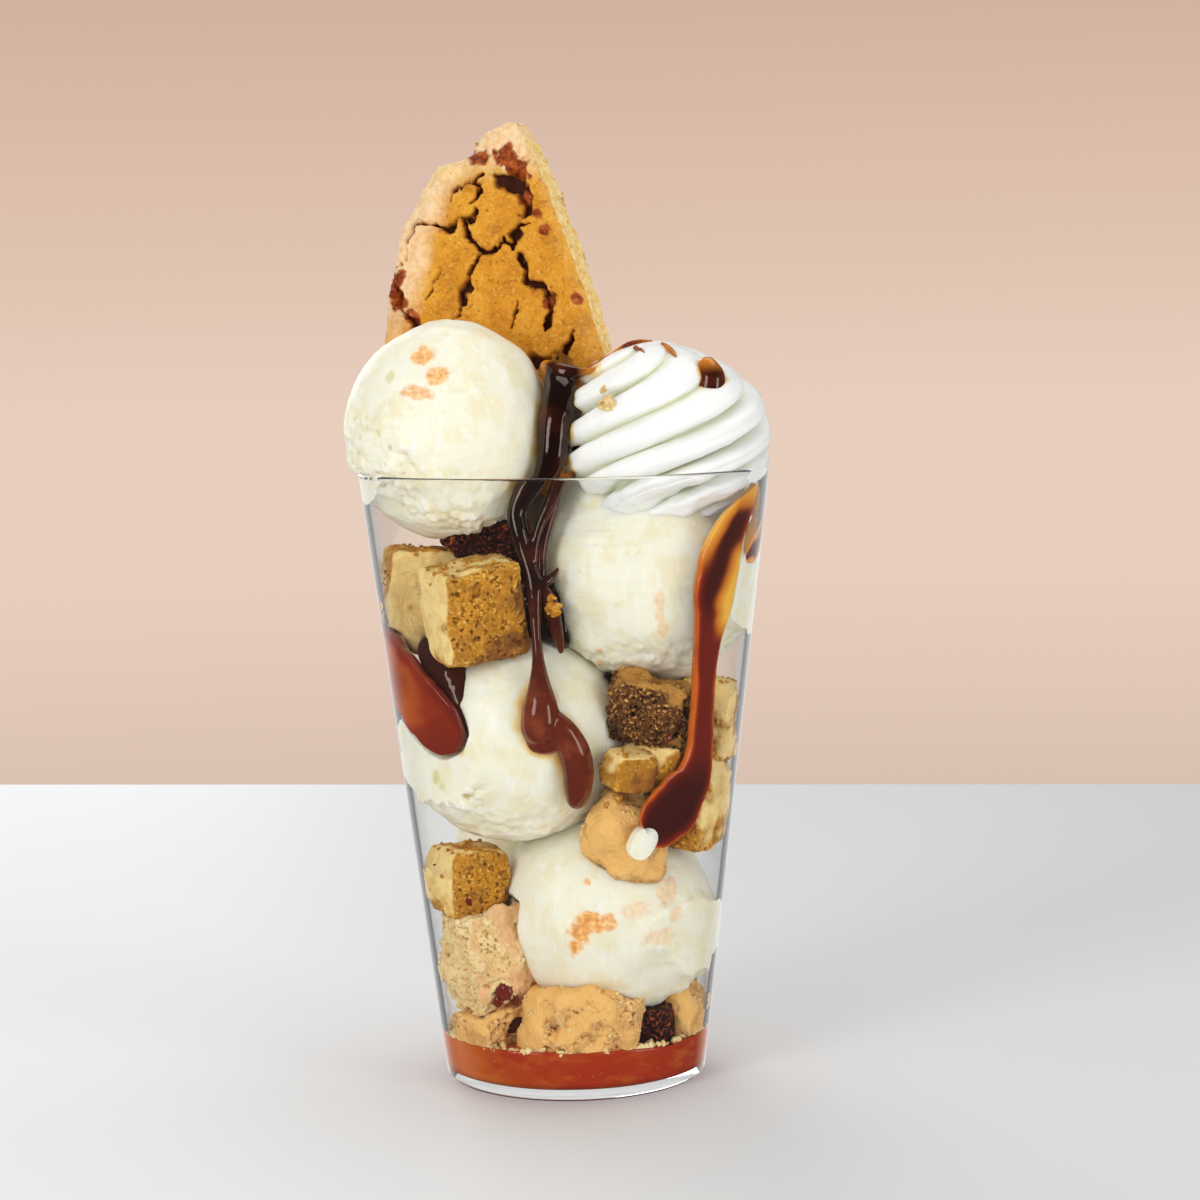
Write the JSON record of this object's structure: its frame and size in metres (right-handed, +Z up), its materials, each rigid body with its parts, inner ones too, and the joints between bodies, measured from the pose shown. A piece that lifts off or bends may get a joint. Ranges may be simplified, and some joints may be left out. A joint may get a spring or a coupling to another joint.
{
  "type": "ice cream sundae",
  "caption": "Layered ice cream sundae in a tall clear tumbler, with cake cubes, biscuit crumble, caramel and chocolate sauce, a piped cream swirl and a cracked cookie wedge.",
  "frame": {"origin": "centre of the tumbler's foot, on the surface that it stands on", "axes": "+Z up along the tumbler, -Y towards the front that the picture shows, +X to the right"},
  "size_m": [0.0984, 0.096, 0.2248],
  "materials": {
    "glass": "clear and smooth",
    "ice_cream": "soft and slightly moist vanilla ice cream",
    "cream": "smooth whipped cream",
    "cookie": "dry, baked and cracked",
    "cake": "open sponge crumb",
    "biscuit": "dry and crumbly",
    "soaked_cake": "crumb soaked with sauce",
    "caramel": "wet, glossy and translucent",
    "chocolate": "wet and glossy"
  },
  "bodies": {
    "root": {"glass": "glass", "caramel_pool": "caramel", "scoop_bottom": "ice_cream", "scoop_middle": "ice_cream", "scoop_right": "ice_cream", "scoop_top": "ice_cream", "scoop_back_low": "ice_cream", "scoop_back_middle": "ice_cream", "scoop_back_high": "ice_cream", "cream_swirl": "cream", "cookie_wedge": "cookie", "cake_cube_front": "cake", "cake_cube_left": "cake", "cake_cube_soaked": "soaked_cake", "cake_cube_low": "cake", "cake_cube_small": "cake", "cake_cube_back_low": "cake", "cake_cube_back_mid": "cake", "cake_cube_back_high": "cake", "crumble_upper": "soaked_cake", "crumble_mid": "cake", "crumble_round": "biscuit", "crumble_wall_high": "cake", "crumble_wall_low": "cake", "crumble_low_left": "biscuit", "crumble_base_left": "biscuit", "crumble_base_slim": "biscuit", "crumble_base_front": "biscuit", "crumble_base_soaked": "soaked_cake", "crumble_base_right": "biscuit", "crumble_back_left": "biscuit", "crumble_back_base": "biscuit", "crumble_back_right": "cake", "melted_drop": "ice_cream", "sauce_wall_right": "caramel", "sauce_wall_side": "caramel", "sauce_wall_left": "caramel", "sauce_wall_back": "caramel", "sauce_fall_front": "chocolate", "sauce_fall_side": "chocolate", "sauce_pocket_centre": "chocolate", "sauce_pocket_right": "chocolate"}
  },
  "joints": []
}
